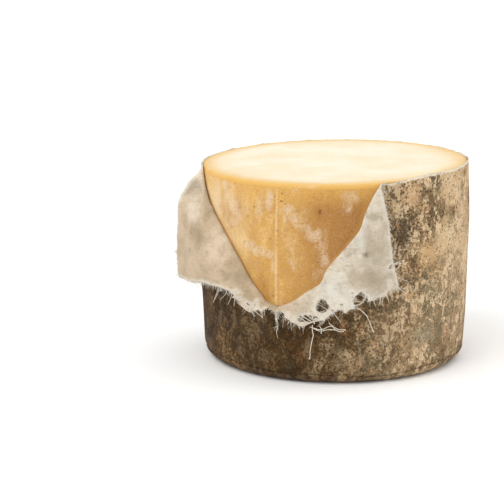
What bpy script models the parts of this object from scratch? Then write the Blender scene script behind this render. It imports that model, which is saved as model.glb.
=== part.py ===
"""Tall drum of hard farmhouse cheese, cut flat across the top, in its torn muslin binding.

Three pieces: the cheese, the bandage wound round its wall and slit down the front with both
corners folded back, and the round cap cloth under the base. Metres, +Z up. The origin is the
centre of the base, on the surface the drum stands on, and -Y is the slit side.
"""

import math

import bpy
import numpy as np

# Drum of cheese
CUT_HEIGHT = 0.236          # floor to the cut face, on the axis
CUT_SLOPE = 0.0184          # rise of the cut face towards +X
RIM_RADIUS = 0.1588         # at the cut face
WAIST_RADIUS = 0.1604       # half way up
FOOT_RADIUS = 0.1545        # at the base, before its rounding
FOOT_ROUNDING = 0.0160
CUT_ROUNDING_BARE = 0.0045  # cut edge where the cloth is folded away
CUT_ROUNDING_BOUND = 0.0015  # cut edge where the cloth still covers it
SWELL = 0.0009              # how far the pressed wall strays from a true round
SWELL_FADE = 0.030          # wall above the foot in which the swell comes in
CUT_UNEVENNESS = 0.0004     # slow rise and dip of the cut face

# Cloth
CLOTH_GAP = 0.00045
BANDAGE_THICKNESS = 0.0015
BASE_CLOTH_THICKNESS = 0.0012
BANDAGE_LIP = 0.0014        # bandage above the cut face
LIP_WAVE = 0.0006           # unevenness of that edge
LIP_WAVE_STEP = 0.9         # turn of the wave from one point of the edge to the next
BANDAGE_TUCK = 0.020        # bandage turned in under the base
BASE_CLOTH_EDGE_DEGREES = (26.0, 11.0)  # how far round the foot its edge stops, and its stray
BASE_CLOTH_INNER = 0.080    # inner ring of its flat part, in from the foot

# Slit and folds. Lengths run round the wall from -Y towards +X, and heights up from the floor
GIRTH_RADIUS = 0.165        # radius at which lengths round the wall are counted
SLIT_FOOT = (-0.067, 0.091)
FOLD_RADIUS = 0.0026
MOST_BEND_SHARE = 0.6       # of a row's cloth, taken by the fold where the flap is short
TEAR_JITTER = 0.0016
TEAR_SEED = 11
PUCKERS = (0.0032, 0.0013)  # cloth pushed out where the slit ends, in the row there and the next
PUCKER_REACH = 0.010        # to each side of the slit
SLIT_FAN = (0.007, 0.009, 0.045)  # spread of the flaps' points there, its growth a row, the most
# Height of a point on the fold, then its place round the wall
RIGHT_FOLD = ((0.091, -0.067), (0.095, -0.0555), (0.1135, -0.0258), (0.120, -0.0152), (0.140, -0.0036),
              (0.164, 0.0162), (0.184, 0.0325), (0.205, 0.0400), (0.222, 0.0485), (0.240, 0.0610))
LEFT_FOLD = ((0.091, -0.067), (0.095, -0.0815), (0.104, -0.0920), (0.118, -0.1060),
             (0.142, -0.1245), (0.1705, -0.1524), (0.202, -0.1940), (0.240, -0.2345))
# Height of a row where it meets the fold, then how much cloth is left from there to the tear
RIGHT_TEAR = ((0.091, 0.003), (0.096, 0.018), (0.104, 0.032), (0.116, 0.038), (0.136, 0.046),
              (0.148, 0.056), (0.158, 0.068), (0.168, 0.056), (0.180, 0.077), (0.208, 0.101),
              (0.240, 0.125))
LEFT_TEAR = ((0.091, 0.002), (0.100, 0.010), (0.106, 0.020), (0.124, 0.035), (0.134, 0.039),
             (0.144, 0.041), (0.160, 0.050), (0.184, 0.075), (0.212, 0.104), (0.240, 0.132))
RIGHT_FLAP_DEGREES = -83.3  # way the rows run once folded back, from the way round the wall
LEFT_FLAP_DEGREES = -86.6
# How far a flap stands off near the slit's foot and at the rim, and the cloth it takes to do so
RIGHT_FLAP_STAND = (0.0015, 0.006, 0.030)
LEFT_FLAP_STAND = (0.003, 0.027, 0.017)

# Mesh counts
ROUND_STEPS = 72
WRAP_STEPS = 60
FOLD_STEPS = 5
FLAP_STEPS = 6
OPEN_ROWS = 14
ROW_CROWDING = 1.3          # how much closer the open rows lie near the slit's foot
CUT_RING_SHARES = (0.35, 0.70, 0.90)  # rings on the cut face, as shares of its radius
CUT_TURNS_DEGREES = (0, 30, 60, 90)
WALL_RINGS = 8
WALL_RING_MARGINS = (0.014, 0.015)  # wall rings keep this far below the cut and above the foot
FOOT_TURNS_DEGREES = (0, 22, 45, 68, 90)  # shared by the cheese and the bandage, so they nest
# Heights of the rows from the slit's foot down, as shares of the wall that is left below it
CLOSED_ROW_SHARES = (1.0, 0.9, 0.7, 0.42, 0.21)
BASE_CLOTH_RINGS = 5

BASE_LIFT = 2 * CLOTH_GAP + BANDAGE_THICKNESS + BASE_CLOTH_THICKNESS
FOOT_TOP = BASE_LIFT + FOOT_ROUNDING
QUARTER_TURN = math.pi / 2


def smooth_through(points, x):
    """Height of a smooth curve through (x, y) points."""
    xs, ys = np.array(points).T
    slopes = np.gradient(ys, xs)
    i = np.clip(np.searchsorted(xs, x) - 1, 0, len(xs) - 2)
    span = xs[i + 1] - xs[i]
    t = np.clip((x - xs[i]) / span, 0.0, 1.0)
    start = (2 * t**3 - 3 * t**2 + 1) * ys[i] + (t**3 - 2 * t**2 + t) * span * slopes[i]
    end = (3 * t**2 - 2 * t**3) * ys[i + 1] + (t**3 - t**2) * span * slopes[i + 1]
    return start + end


def wall_radius(height):
    """Radius of the cheese on a parabola through its foot, waist and rim."""
    t = height / CUT_HEIGHT
    foot = FOOT_RADIUS * (1 - t) * (1 - 2 * t)
    waist = WAIST_RADIUS * 4 * t * (1 - t)
    rim = RIM_RADIUS * t * (2 * t - 1)
    return foot + waist + rim


def swell(angle, height):
    """Slow unevenness of the pressed wall, none at the base."""
    waves = (0.5 * np.sin(2 * angle + 1.1) + 0.3 * np.sin(5 * angle - 0.6 + 38 * height)
             + 0.25 * np.sin(3 * angle + 0.4 - 60 * height))
    return SWELL * waves * np.clip((height - FOOT_TOP) / SWELL_FADE, 0.0, 1.0)


def place(angle, radius, height):
    """World point, leaning with the slope of the cut face more and more towards the top."""
    x = radius * np.sin(angle)
    y = -radius * np.cos(angle)
    return np.stack(np.broadcast_arrays(x, y, height + CUT_SLOPE * x * height / CUT_HEIGHT), -1)


def skin_point(angle, height, lift):
    """Point at a lift off the cheese. A height under FOOT_TOP runs on round the foot and inwards."""
    angle, height, lift = np.broadcast_arrays(angle, height, lift)
    below = np.maximum(FOOT_TOP - height, 0.0)
    turn = np.minimum(below / FOOT_ROUNDING, QUARTER_TURN)
    inward = np.maximum(below - QUARTER_TURN * FOOT_ROUNDING, 0.0)
    bend = FOOT_ROUNDING + lift
    foot_radius = wall_radius(FOOT_TOP) - FOOT_ROUNDING + bend * np.cos(turn) - inward
    on_wall = height >= FOOT_TOP
    radius = np.where(on_wall, wall_radius(height) + lift + swell(angle, height), foot_radius)
    level = np.where(on_wall, height, FOOT_TOP - bend * np.sin(turn))
    return place(angle, radius, level)


def new_material(name, color, roughness):
    material = bpy.data.materials.new(name)
    material.use_nodes = True
    shader = material.node_tree.nodes["Principled BSDF"]
    shader.inputs["Base Color"].default_value = (*color, 1.0)
    shader.inputs["Roughness"].default_value = roughness
    shader.inputs["Metallic"].default_value = 0.0
    return material


def new_piece(name, points, faces, material):
    mesh = bpy.data.meshes.new(name)
    mesh.from_pydata([tuple(map(float, point)) for point in points], [], faces)
    mesh.materials.append(material)
    mesh.shade_smooth()
    mesh.set_sharp_from_angle(angle=math.radians(40))
    piece = bpy.data.objects.new(name, mesh)
    bpy.context.scene.collection.objects.link(piece)
    return piece


def add_thickness(piece, thickness):
    solid = piece.modifiers.new("Thickness", "SOLIDIFY")
    solid.thickness = thickness
    solid.offset = 0.0


def rings_to_faces(ring_count, steps):
    """Quads between closed rings of points, from the first ring outwards or down."""
    return [(ring * steps + i, (ring + 1) * steps + i, (ring + 1) * steps + (i + 1) % steps,
             ring * steps + (i + 1) % steps)
            for ring in range(ring_count - 1) for i in range(steps)]


def split_short(points, quad):
    """Two triangles on the shorter diagonal, so that a slanting quad keeps to the round wall."""
    a, b, c, d = quad
    if np.linalg.norm(points[a] - points[c]) < np.linalg.norm(points[b] - points[d]):
        return [(a, b, c), (a, c, d)]
    return [(a, b, d), (b, c, d)]


def fan(centre, first, steps, outward_up):
    turn = [(centre, first + i, first + (i + 1) % steps) for i in range(steps)]
    return turn if outward_up else [face[::-1] for face in turn]


def make_cheese():
    angle = np.arange(ROUND_STEPS) * 2 * math.pi / ROUND_STEPS - math.pi
    from_slit = angle * GIRTH_RADIUS
    right_end = smooth_through(RIGHT_FOLD, CUT_HEIGHT)
    left_end = smooth_through(LEFT_FOLD, CUT_HEIGHT)
    bare = (from_slit > left_end) & (from_slit < right_end)
    rounding = np.where(bare, CUT_ROUNDING_BARE, CUT_ROUNDING_BOUND)
    rim = wall_radius(CUT_HEIGHT) + swell(angle, CUT_HEIGHT)

    rings = [place(angle, rim * share, CUT_HEIGHT + CUT_UNEVENNESS * np.sin(3 * angle + 7 * share))
             for share in CUT_RING_SHARES]
    for turn in np.radians(CUT_TURNS_DEGREES):
        radius = rim - rounding * (1 - np.sin(turn))
        rings.append(place(angle, radius, CUT_HEIGHT - rounding * (1 - np.cos(turn))))
    top_margin, foot_margin = WALL_RING_MARGINS
    for height in np.linspace(CUT_HEIGHT - top_margin, FOOT_TOP + foot_margin, WALL_RINGS):
        rings.append(skin_point(angle, height, 0.0))
    for turn in np.radians(FOOT_TURNS_DEGREES):
        rings.append(skin_point(angle, FOOT_TOP - turn * FOOT_ROUNDING, 0.0))

    points = np.concatenate(rings + [place(0.0, 0.0, CUT_HEIGHT)[None], [[0.0, 0.0, BASE_LIFT]]])
    last_ring = (len(rings) - 1) * ROUND_STEPS
    faces = rings_to_faces(len(rings), ROUND_STEPS)
    faces += fan(len(points) - 2, 0, ROUND_STEPS, True)
    faces += fan(len(points) - 1, last_ring, ROUND_STEPS, False)
    return new_piece("cheese", points, faces, new_material("Rind", (0.60, 0.36, 0.14), 0.5))


class Flap:
    """One corner of the slit cloth, folded back over the bandage along its fold."""

    def __init__(self, side, fold, tear, degrees, stand):
        self.side = side            # +1 right, -1 left
        self.fold = fold
        self.tear = tear
        self.way = np.array([math.cos(math.radians(degrees)), math.sin(math.radians(degrees))])
        self.stand = stand
        # The fold halves the angle between the row round the wall and the row folded back
        half = 0.5 * (math.radians(degrees) + (math.pi if side > 0 else 0.0))
        self.along = np.array([math.cos(half), math.sin(half)])
        if self.along[1] > 0:
            self.along = -self.along
        self.row_share = float(abs(self.along[0]))   # of a row's length, how much runs along the fold
        self.across_share = math.sqrt(1 - self.row_share**2)
        self.across = np.array([-side * self.across_share, self.row_share])

    def row(self, height, cut):
        """Places round the wall, heights and lifts of one row, from its fold to its torn end."""
        start = np.array([smooth_through(self.fold, height), height])
        length = smooth_through(self.tear, height) + cut
        bend = min(math.pi * FOLD_RADIUS / self.across_share, MOST_BEND_SHARE * length)
        run = np.concatenate([np.linspace(0, bend, FOLD_STEPS + 1)[1:],
                              bend + np.linspace(0, length - bend, FLAP_STEPS + 1)[1:]])
        away = run * self.across_share
        turn = np.minimum(away / FOLD_RADIUS, math.pi)
        back = away - FOLD_RADIUS * turn
        offset = FOLD_RADIUS * np.sin(turn) - back
        share = np.clip((height - SLIT_FOOT[1]) / (CUT_HEIGHT - SLIT_FOOT[1]), 0.0, 1.0)
        near_foot, at_rim, stand_length = self.stand
        stand = near_foot + (at_rim - near_foot) * share
        lift = FOLD_RADIUS * (1 - np.cos(turn)) + stand * np.tanh(back / stand_length)
        flat = start + run[:, None] * self.row_share * self.along + offset[:, None] * self.across
        return flat[:, 0], flat[:, 1], lift


def make_bandage():
    """A sheet in rows from the rim to under the base. Rows above the slit's foot are open there."""
    right = Flap(+1, RIGHT_FOLD, RIGHT_TEAR, RIGHT_FLAP_DEGREES, RIGHT_FLAP_STAND)
    left = Flap(-1, LEFT_FOLD, LEFT_TEAR, LEFT_FLAP_DEGREES, LEFT_FLAP_STAND)
    draw = np.random.default_rng(TEAR_SEED)
    girth = 2 * math.pi * GIRTH_RADIUS
    slit_at, slit_height = SLIT_FOOT
    middle = CLOTH_GAP + BANDAGE_THICKNESS / 2
    side_steps = FOLD_STEPS + FLAP_STEPS

    share = (np.arange(OPEN_ROWS, 0, -1) / OPEN_ROWS) ** ROW_CROWDING
    open_heights = slit_height + (CUT_HEIGHT + BANDAGE_LIP - slit_height) * share
    rows = []
    for number, height in enumerate(open_heights):
        torn = 0.0 if number == 0 else TEAR_JITTER
        right_row = right.row(height, draw.uniform(-torn, torn))
        left_row = left.row(height, draw.uniform(-torn, torn))
        start = smooth_through(RIGHT_FOLD, height)
        end = smooth_through(LEFT_FOLD, height) + girth
        wrap = np.linspace(start, end, WRAP_STEPS + 1)
        lip = LIP_WAVE if number == 0 else 0.0
        wave = lip * np.sin(LIP_WAVE_STEP * np.arange(WRAP_STEPS + 1))
        around = np.concatenate([right_row[0][::-1], wrap, left_row[0] + girth])
        heights = np.concatenate([right_row[1][::-1], height + wave, left_row[1]])
        lift = np.concatenate([right_row[2][::-1], 0 * wrap, left_row[2]])
        rows.append(skin_point(around / GIRTH_RADIUS, heights, middle + lift))

    foot_turns = FOOT_TOP - np.radians(FOOT_TURNS_DEGREES) * FOOT_ROUNDING
    wall_rows = FOOT_TOP + (slit_height - FOOT_TOP) * np.array(CLOSED_ROW_SHARES)
    closed_heights = np.concatenate([wall_rows, foot_turns, [foot_turns[-1] - BANDAGE_TUCK]])
    # The flaps' points close up at the slit's foot and fan out a little in each row below it
    least, growth, most = SLIT_FAN
    spreads = np.minimum(least + growth * np.arange(len(closed_heights)), most)
    for number, (height, spread) in enumerate(zip(closed_heights, spreads)):
        near = np.linspace(0, spread, side_steps + 1)
        around = np.concatenate([slit_at + near, np.linspace(
            slit_at + spread, slit_at - spread + girth, WRAP_STEPS + 1)[1:-1],
            slit_at - near[:0:-1] + girth])
        pucker = PUCKERS[number] if number < len(PUCKERS) else 0.0
        from_slit = np.abs((around - slit_at + girth / 2) % girth - girth / 2)
        lift = pucker * np.clip(1 - from_slit / PUCKER_REACH, 0.0, 1.0)
        rows.append(skin_point(around / GIRTH_RADIUS, height, middle + lift))

    counts = [len(row) for row in rows]
    starts = np.concatenate([[0], np.cumsum(counts)])
    points = np.concatenate(rows)
    faces = []
    for number in range(len(rows) - 1):
        # A closed row is one point shorter, and its end meets its own first point
        for i in range(max(counts) - 1):
            upper, lower = (int(starts[row] + i) for row in (number, number + 1))
            next_upper, next_lower = (int(starts[row] + (i + 1) % counts[row])
                                      for row in (number, number + 1))
            faces += split_short(points, (upper, lower, next_lower, next_upper))
    piece = new_piece("bandage", points, faces, new_material("Moulded muslin", (0.30, 0.23, 0.14), 0.9))
    add_thickness(piece, BANDAGE_THICKNESS)
    return piece


def make_base_cloth():
    """Cap cloth under the base, its uneven edge turned up round the foot."""
    angle = np.arange(ROUND_STEPS) * 2 * math.pi / ROUND_STEPS - math.pi
    middle = BASE_LIFT - BASE_CLOTH_THICKNESS / 2
    stop, stray = np.radians(BASE_CLOTH_EDGE_DEGREES)
    edge = stop + stray * (0.6 * np.sin(3 * angle + 0.8) + 0.4 * np.sin(7 * angle - 1.0))
    flat_edge = FOOT_TOP - QUARTER_TURN * FOOT_ROUNDING
    rings = [skin_point(angle, flat_edge - BASE_CLOTH_INNER, middle)]
    for share in np.linspace(0, 1, BASE_CLOTH_RINGS):
        turn = QUARTER_TURN + (edge - QUARTER_TURN) * share
        rings.append(skin_point(angle, FOOT_TOP - turn * FOOT_ROUNDING, middle))
    points = np.concatenate(rings + [[[0.0, 0.0, BASE_LIFT - middle]]])
    faces = [face[::-1] for face in rings_to_faces(len(rings), ROUND_STEPS)]
    faces += fan(len(points) - 1, 0, ROUND_STEPS, False)
    piece = new_piece("base_cloth", points, faces,
                      new_material("Grey muslin", (0.36, 0.29, 0.20), 0.9))
    add_thickness(piece, BASE_CLOTH_THICKNESS)
    return piece


def main():
    for old in list(bpy.data.objects):
        bpy.data.objects.remove(old, do_unlink=True)
    make_cheese()
    make_bandage()
    make_base_cloth()


main()
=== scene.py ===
import itertools
import math
from functools import partialmethod

import bpy
import numpy as np
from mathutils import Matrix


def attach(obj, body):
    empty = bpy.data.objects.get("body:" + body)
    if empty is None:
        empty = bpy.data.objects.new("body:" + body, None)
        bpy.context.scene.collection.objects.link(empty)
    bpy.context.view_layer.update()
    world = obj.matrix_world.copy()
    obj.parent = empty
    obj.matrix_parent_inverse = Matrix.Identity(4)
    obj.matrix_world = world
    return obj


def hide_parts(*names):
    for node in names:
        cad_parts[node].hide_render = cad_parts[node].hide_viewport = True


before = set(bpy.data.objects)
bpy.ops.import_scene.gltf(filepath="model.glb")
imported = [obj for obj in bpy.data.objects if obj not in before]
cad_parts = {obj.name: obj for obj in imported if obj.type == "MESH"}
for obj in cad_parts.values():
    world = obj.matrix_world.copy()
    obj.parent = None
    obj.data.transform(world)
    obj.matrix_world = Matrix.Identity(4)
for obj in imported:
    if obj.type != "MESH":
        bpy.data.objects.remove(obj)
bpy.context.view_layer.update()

quarterTurn = math.pi / 2
print("frame loaded")

# The drum and its slit, in the frame's metres, as the solids have them.
# Lengths "around" run round the wall from -Y towards +X, heights run up from the floor.
drum = {
    "cutHeight": 0.236,
    "cutSlope": 0.0184,
    "rimRadius": 0.1588,
    "waistRadius": 0.1604,
    "footRadius": 0.1545,
    "footRounding": 0.016,
    "swell": 0.0009,
    "baseLift": 0.0036,  # cloth under the cheese
    "girthRadius": 0.165,
    "girthSteps": 400,
}
slit = {
    "foot": (-0.067, 0.091),  # around, height
    "foldRadius": 0.0026,
    "pucker": 0.0032,
    "fan": 0.045,
}


def metres(tenths):
    # places read off the photo are written in tenths of a millimetre
    return np.array(tenths) / 10000


# fold: height of a point on it, then its place around the wall.
# outline: around and height, as the flap hangs, from the slit's foot along the tear to the corner,
# then up the cloth's own rim edge. holes: around, height, half width, half height, degrees of tilt
rightFlap = {
    "side": 1,
    "fold": metres((
        (910, -670), (950, -555), (1135, -258), (1200, -152), (1400, -36), (1640, 162), (1840, 325),
        (2050, 400), (2220, 485), (2400, 610),
    )),
    "outline": metres((
        (-617, 892), (-583, 855), (-554, 817), (-505, 781), (-422, 741), (-368, 718), (-289, 723),
        (-236, 746), (-198, 775), (-133, 804), (-44, 870), (7, 911), (57, 945), (108, 938), (120, 904),
        (159, 881), (203, 897), (235, 955), (208, 1051), (227, 1070), (270, 1130), (307, 1149),
        (333, 1114), (366, 1073), (385, 1025), (436, 1037), (487, 1068), (565, 1075), (602, 1128),
        (660, 1157), (721, 1157), (692, 1315), (656, 1468), (636, 1607), (622, 1666), (610, 1895),
        (581, 2125), (580, 2420),
    )),
    "corner": 30,  # the outline's point where the tear ends
    "holes": (
        (-126, 968, 78, 86, 20), (-290, 817, 138, 36, 8), (80, 990, 20, 13, 30), (206, 1131, 12, 16, 0),
        (630, 1414, 26, 18, 40), (-530, 850, 10, 9, 0), (-20, 925, 22, 9, 35), (625, 1222, 12, 20, 10),
    ),
    "degrees": -80.5,
    "stand": (0.0015, 0.006, 0.03),  # off the wall near the slit's foot, at the rim, within what length
    "ripple": 0.0018,
    "seed": 3,
}
leftFlap = {
    "side": -1,
    "fold": metres((
        (910, -670), (950, -815), (1040, -920), (1180, -1060), (1420, -1245), (1705, -1524),
        (2020, -1940), (2400, -2345),
    )),
    "outline": metres((
        (-749, 903), (-790, 897), (-826, 876), (-849, 844), (-889, 875), (-925, 848), (-963, 867),
        (-996, 829), (-1034, 860), (-1080, 902), (-1123, 925), (-1180, 945), (-1205, 982),
        (-1160, 1008), (-1196, 1037), (-1248, 1072), (-1318, 1083), (-1444, 1091), (-1599, 1099),
        (-1880, 1050), (-2160, 1060), (-2240, 1040), (-2324, 2420),
    )),
    "corner": 21,
    "holes": (
        (-1150, 1062, 12, 8, 0), (-1118, 985, 14, 9, 0), (-990, 912, 30, 8, -35),
        (-935, 915, 8, 22, -20),
    ),
    "degrees": -86.6,
    "stand": (0.003, 0.027, 0.017),
    "ripple": 0.0022,
    "seed": 8,
}

cutHeight = drum["cutHeight"]
footRounding = drum["footRounding"]
footTop = drum["baseLift"] + footRounding
girthRadius = drum["girthRadius"]
girthSteps = drum["girthSteps"]
angles = np.arange(girthSteps) * 2 * math.pi / girthSteps - math.pi  # all the way round


def smoothThrough(points, x):
    # height at x of a smooth curve through (x, y) points
    xs, ys = np.array(points).T
    slopes = np.gradient(ys, xs)
    i = np.clip(np.searchsorted(xs, x) - 1, 0, len(xs) - 2)
    span = xs[i + 1] - xs[i]
    t = np.clip((x - xs[i]) / span, 0.0, 1.0)
    start = (2 * t**3 - 3 * t**2 + 1) * ys[i] + (t**3 - 2 * t**2 + t) * span * slopes[i]
    end = (3 * t**2 - 2 * t**3) * ys[i + 1] + (t**3 - t**2) * span * slopes[i + 1]
    return start + end


def easeStep(low, high, x):
    t = np.clip((x - low) / (high - low), 0.0, 1.0)
    return t * t * (3 - 2 * t)


def unevenness(points, cell, octaves, seed):
    # smooth random field from -1 to 1 with lumps of the cell's size, the same at every run
    table = np.random.default_rng(seed).uniform(-1, 1, 4096)
    points = np.asarray(points, float)
    total = np.zeros(points.shape[:-1])
    weight = 1.0
    weights = 0.0
    for octave in range(octaves):
        scaled = points * 2.0**octave / cell + 17.3 * octave
        base = np.floor(scaled).astype(np.int64)
        blend = scaled - base
        blend = blend * blend * (3 - 2 * blend)
        for corner in itertools.product((0, 1), repeat=points.shape[-1]):
            place = (base + corner) * np.array([73856093, 19349663, 83492791])[:points.shape[-1]]
            value = table[np.bitwise_xor.reduce(place, -1) % len(table)]
            share = np.where(corner, blend, 1 - blend).prod(-1)
            total += weight * share * value
        weights += weight
        weight *= 0.55
    return total / weights


def foldAt(flap, height):
    return smoothThrough(flap["fold"], height)


def inRow(around, height=0):
    return np.stack([around, height + 0 * around], -1)


def wallRadius(height):
    t = height / cutHeight
    foot = drum["footRadius"] * (1 - t) * (1 - 2 * t)
    waist = drum["waistRadius"] * 4 * t * (1 - t)
    rim = drum["rimRadius"] * t * (2 * t - 1)
    return foot + waist + rim


def wallSwell(angle, height):
    waves = (0.5 * np.sin(2 * angle + 1.1) + 0.3 * np.sin(5 * angle - 0.6 + 38 * height)
             + 0.25 * np.sin(3 * angle + 0.4 - 60 * height))
    return drum["swell"] * waves * np.clip((height - footTop) / 0.03, 0.0, 1.0)


def atDrum(angle, radius, height):
    # world points, leaning with the slope of the cut face
    x = radius * np.sin(angle)
    y = -radius * np.cos(angle)
    lean = drum["cutSlope"] * x * height / cutHeight
    return np.stack(np.broadcast_arrays(x, y, height + lean), -1)


def onSkin(angle, height, lift):
    # a height under footTop runs on round the foot, and then in under the base
    angle, height, lift = np.broadcast_arrays(angle, height, lift)
    below = np.maximum(footTop - height, 0.0)
    turn = np.minimum(below / footRounding, quarterTurn)
    inward = np.maximum(below - quarterTurn * footRounding, 0.0)
    bend = footRounding + lift
    underRadius = wallRadius(footTop) - footRounding + bend * np.cos(turn) - inward
    onWall = height >= footTop
    radius = np.where(onWall, wallRadius(height) + lift + wallSwell(angle, height), underRadius)
    level = np.where(onWall, height, footTop - bend * np.sin(turn))
    return atDrum(angle, radius, level)


def levelOf(points):
    # a point's height on the drum before the lean
    return points[..., 2] - drum["cutSlope"] * points[..., 0] * points[..., 2] / cutHeight


def unit(vectors):
    return vectors / np.maximum(np.linalg.norm(vectors, axis=-1, keepdims=True), 1e-9)


def pushedOut(points, amounts):
    # away from the drum's axis
    return points + unit(points * (1, 1, 0)) * amounts[:, None]


def ringFaces(ringCount):
    ring, i = np.meshgrid(np.arange(ringCount - 1) * girthSteps, np.arange(girthSteps), indexing="ij")
    following = (i + 1) % girthSteps
    below = ring + girthSteps
    return np.stack([ring + i, below + i, below + following, ring + following], -1).reshape(-1, 4)


def newObject(name, data):
    thing = bpy.data.objects.new(name, data)
    bpy.context.scene.collection.objects.link(thing)
    return thing


def newPiece(name, points, faces, places, materials):
    # places, in metres: each point's two flat coordinates, and how far it is from the tear or fold
    mesh = bpy.data.meshes.new(name)
    mesh.from_pydata(np.asarray(points).tolist(), [], [list(map(int, face)) for face in faces])
    for material in materials:
        mesh.materials.append(material)
    if places is not None:
        corners = np.empty(len(mesh.loops), np.int32)
        mesh.loops.foreach_get("vertex_index", corners)
        places = np.asarray(places, np.float32)[corners]
        mesh.uv_layers.new(name="flat").data.foreach_set("uv", places[:, :2].ravel())
        mesh.uv_layers.new(name="torn").data.foreach_set("uv", places[:, [2, 2]].ravel())
    mesh.shade_smooth()
    return newObject(name, mesh)


def thicken(piece, thickness, rimMaterial=0):
    # both ways from the sheet; the side towards the cheese has the second material
    solid = piece.modifiers.new("clothThickness", "SOLIDIFY")
    solid.thickness = thickness
    solid.offset = 0.0
    solid.material_offset = 1
    solid.material_offset_rim = rimMaterial


# Materials

lightLevel = 1.24  # how bright a white thing is lit, for colours given as they look


def toLinear(color):
    # a colour as the lit thing shows it, 0 to 255, made linear and freed of the light's level
    share = np.array(color) / 255
    linear = np.where(share <= 0.04045, share / 12.92, ((share + 0.055) / 1.055) ** 2.4)
    return (*(float(value) for value in linear / lightLevel), 1)


def newMaterial(name):
    material = bpy.data.materials.new(name)
    material.use_nodes = True
    tree = material.node_tree
    return material, tree, tree.nodes["Principled BSDF"], objectPlace(tree)


def setInput(node, key, value):
    if isinstance(value, Field):
        node.id_data.links.new(value.socket, node.inputs[key])
    else:
        node.inputs[key].default_value = value


def addNode(tree, kind, inputs, **settings):
    node = tree.nodes.new("ShaderNode" + kind)
    for key, value in settings.items():
        setattr(node, key, value)
    for key, value in inputs.items():
        setInput(node, key, value)
    return node


class Field:
    # a value or a colour that a material's nodes work out; arithmetic on it adds math nodes
    def __init__(self, socket):
        self.socket = socket
        self.tree = socket.id_data

    def worked(self, operation, *others):
        inputs = dict(enumerate((self, *others)))
        return Field(addNode(self.tree, "Math", inputs, operation=operation).outputs[0])

    __add__ = partialmethod(worked, "ADD")
    __sub__ = partialmethod(worked, "SUBTRACT")
    __mul__ = partialmethod(worked, "MULTIPLY")
    __truediv__ = partialmethod(worked, "DIVIDE")
    __abs__ = partialmethod(worked, "ABSOLUTE")
    atLeast = partialmethod(worked, "MAXIMUM")
    sine = partialmethod(worked, "SINE")

    def step(self, low, high, toHigh=1, toLow=0):
        # smooth step from toLow, where the value is low, to toHigh, where it is high
        inputs = {"Value": self, "From Min": low, "From Max": high, "To Min": toLow, "To Max": toHigh}
        node = addNode(self.tree, "MapRange", inputs, interpolation_type="SMOOTHSTEP")
        return Field(node.outputs["Result"])


def partsOf(vector):
    return [Field(part) for part in addNode(vector.tree, "SeparateXYZ", {0: vector}).outputs]


def objectPlace(tree, stretch=(1, 1, 1), shift=(0, 0, 0)):
    source = Field(addNode(tree, "TexCoord", {}).outputs["Object"])
    inputs = {"Vector": source, "Scale": stretch, "Location": shift}
    return Field(addNode(tree, "Mapping", inputs).outputs["Vector"])


def flatPlace(tree, layer="flat"):
    # the two flat coordinates, in metres
    return partsOf(Field(addNode(tree, "UVMap", {}, uv_map=layer).outputs["UV"]))[:2]


def noiseOf(place, size, detail=4, roughness=0.55, distortion=0):
    # size is the lumps' size in metres
    inputs = {"Vector": place, "Scale": 1 / size, "Detail": detail, "Roughness": roughness,
              "Distortion": distortion}
    return Field(addNode(place.tree, "TexNoise", inputs).outputs["Fac"])


def cellsOf(place, size):
    node = addNode(place.tree, "TexVoronoi", {"Vector": place, "Scale": 1 / size})
    return Field(node.outputs["Distance"])


def rampOf(value, stops):
    # stops: (value, colour as it looks)
    node = addNode(value.tree, "ValToRGB", {"Fac": value})
    ramp = node.color_ramp
    ramp.interpolation = "EASE"
    while len(ramp.elements) < len(stops):
        ramp.elements.new(0.5)
    for element, (position, color) in zip(ramp.elements, stops):
        element.position = position
        element.color = toLinear(color)
    return Field(node.outputs["Color"])


def mixOf(share, first, second):
    # colours are fields, or are given as they look
    first, second = (toLinear(color) if isinstance(color, tuple) else color for color in (first, second))
    return Field(addNode(share.tree, "Mix", {0: share, 6: first, 7: second}, data_type="RGBA").outputs[2])


def layered(color, look, layers):
    # lays the look's colours over each other in turn, each by its share
    for name, share in layers.items():
        color = mixOf(share, color, look[name])
    return color


def dress(shader, heights, **values):
    # heights are (field, metres) pairs, one bump on the next
    for height, distance in heights:
        inputs = {"Height": height, "Distance": distance}
        if "Normal" in values:
            inputs["Normal"] = values["Normal"]
        values["Normal"] = Field(addNode(height.tree, "Bump", inputs).outputs["Normal"])
    for key, value in values.items():
        setInput(shader, key.replace("_", " "), value)


def markOf(around, height, mark, wobble, outer=1.5, inner=0.3):
    # a soft spot, 1 in the middle and 0 outside
    middleAround, middleHeight, halfWidth, halfHeight = metres(mark)
    across = (around - middleAround) / halfWidth
    upward = (height - middleHeight) / halfHeight
    return (across * across + upward * upward + wobble).step(outer, inner)


def stainsShadeAndLightOver(color, place, wobble, stainsShadeAndLight, strength):
    # very soft patches at (x, height, half width, half height, colour): stains and colour, with painted
    # shade and painted light among them
    x, height = partsOf(place)[::2]
    for *mark, tone in stainsShadeAndLight:
        color = mixOf(markOf(x, height, mark, wobble, 3.2, -0.6) * strength, color, tone)
    return color


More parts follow.
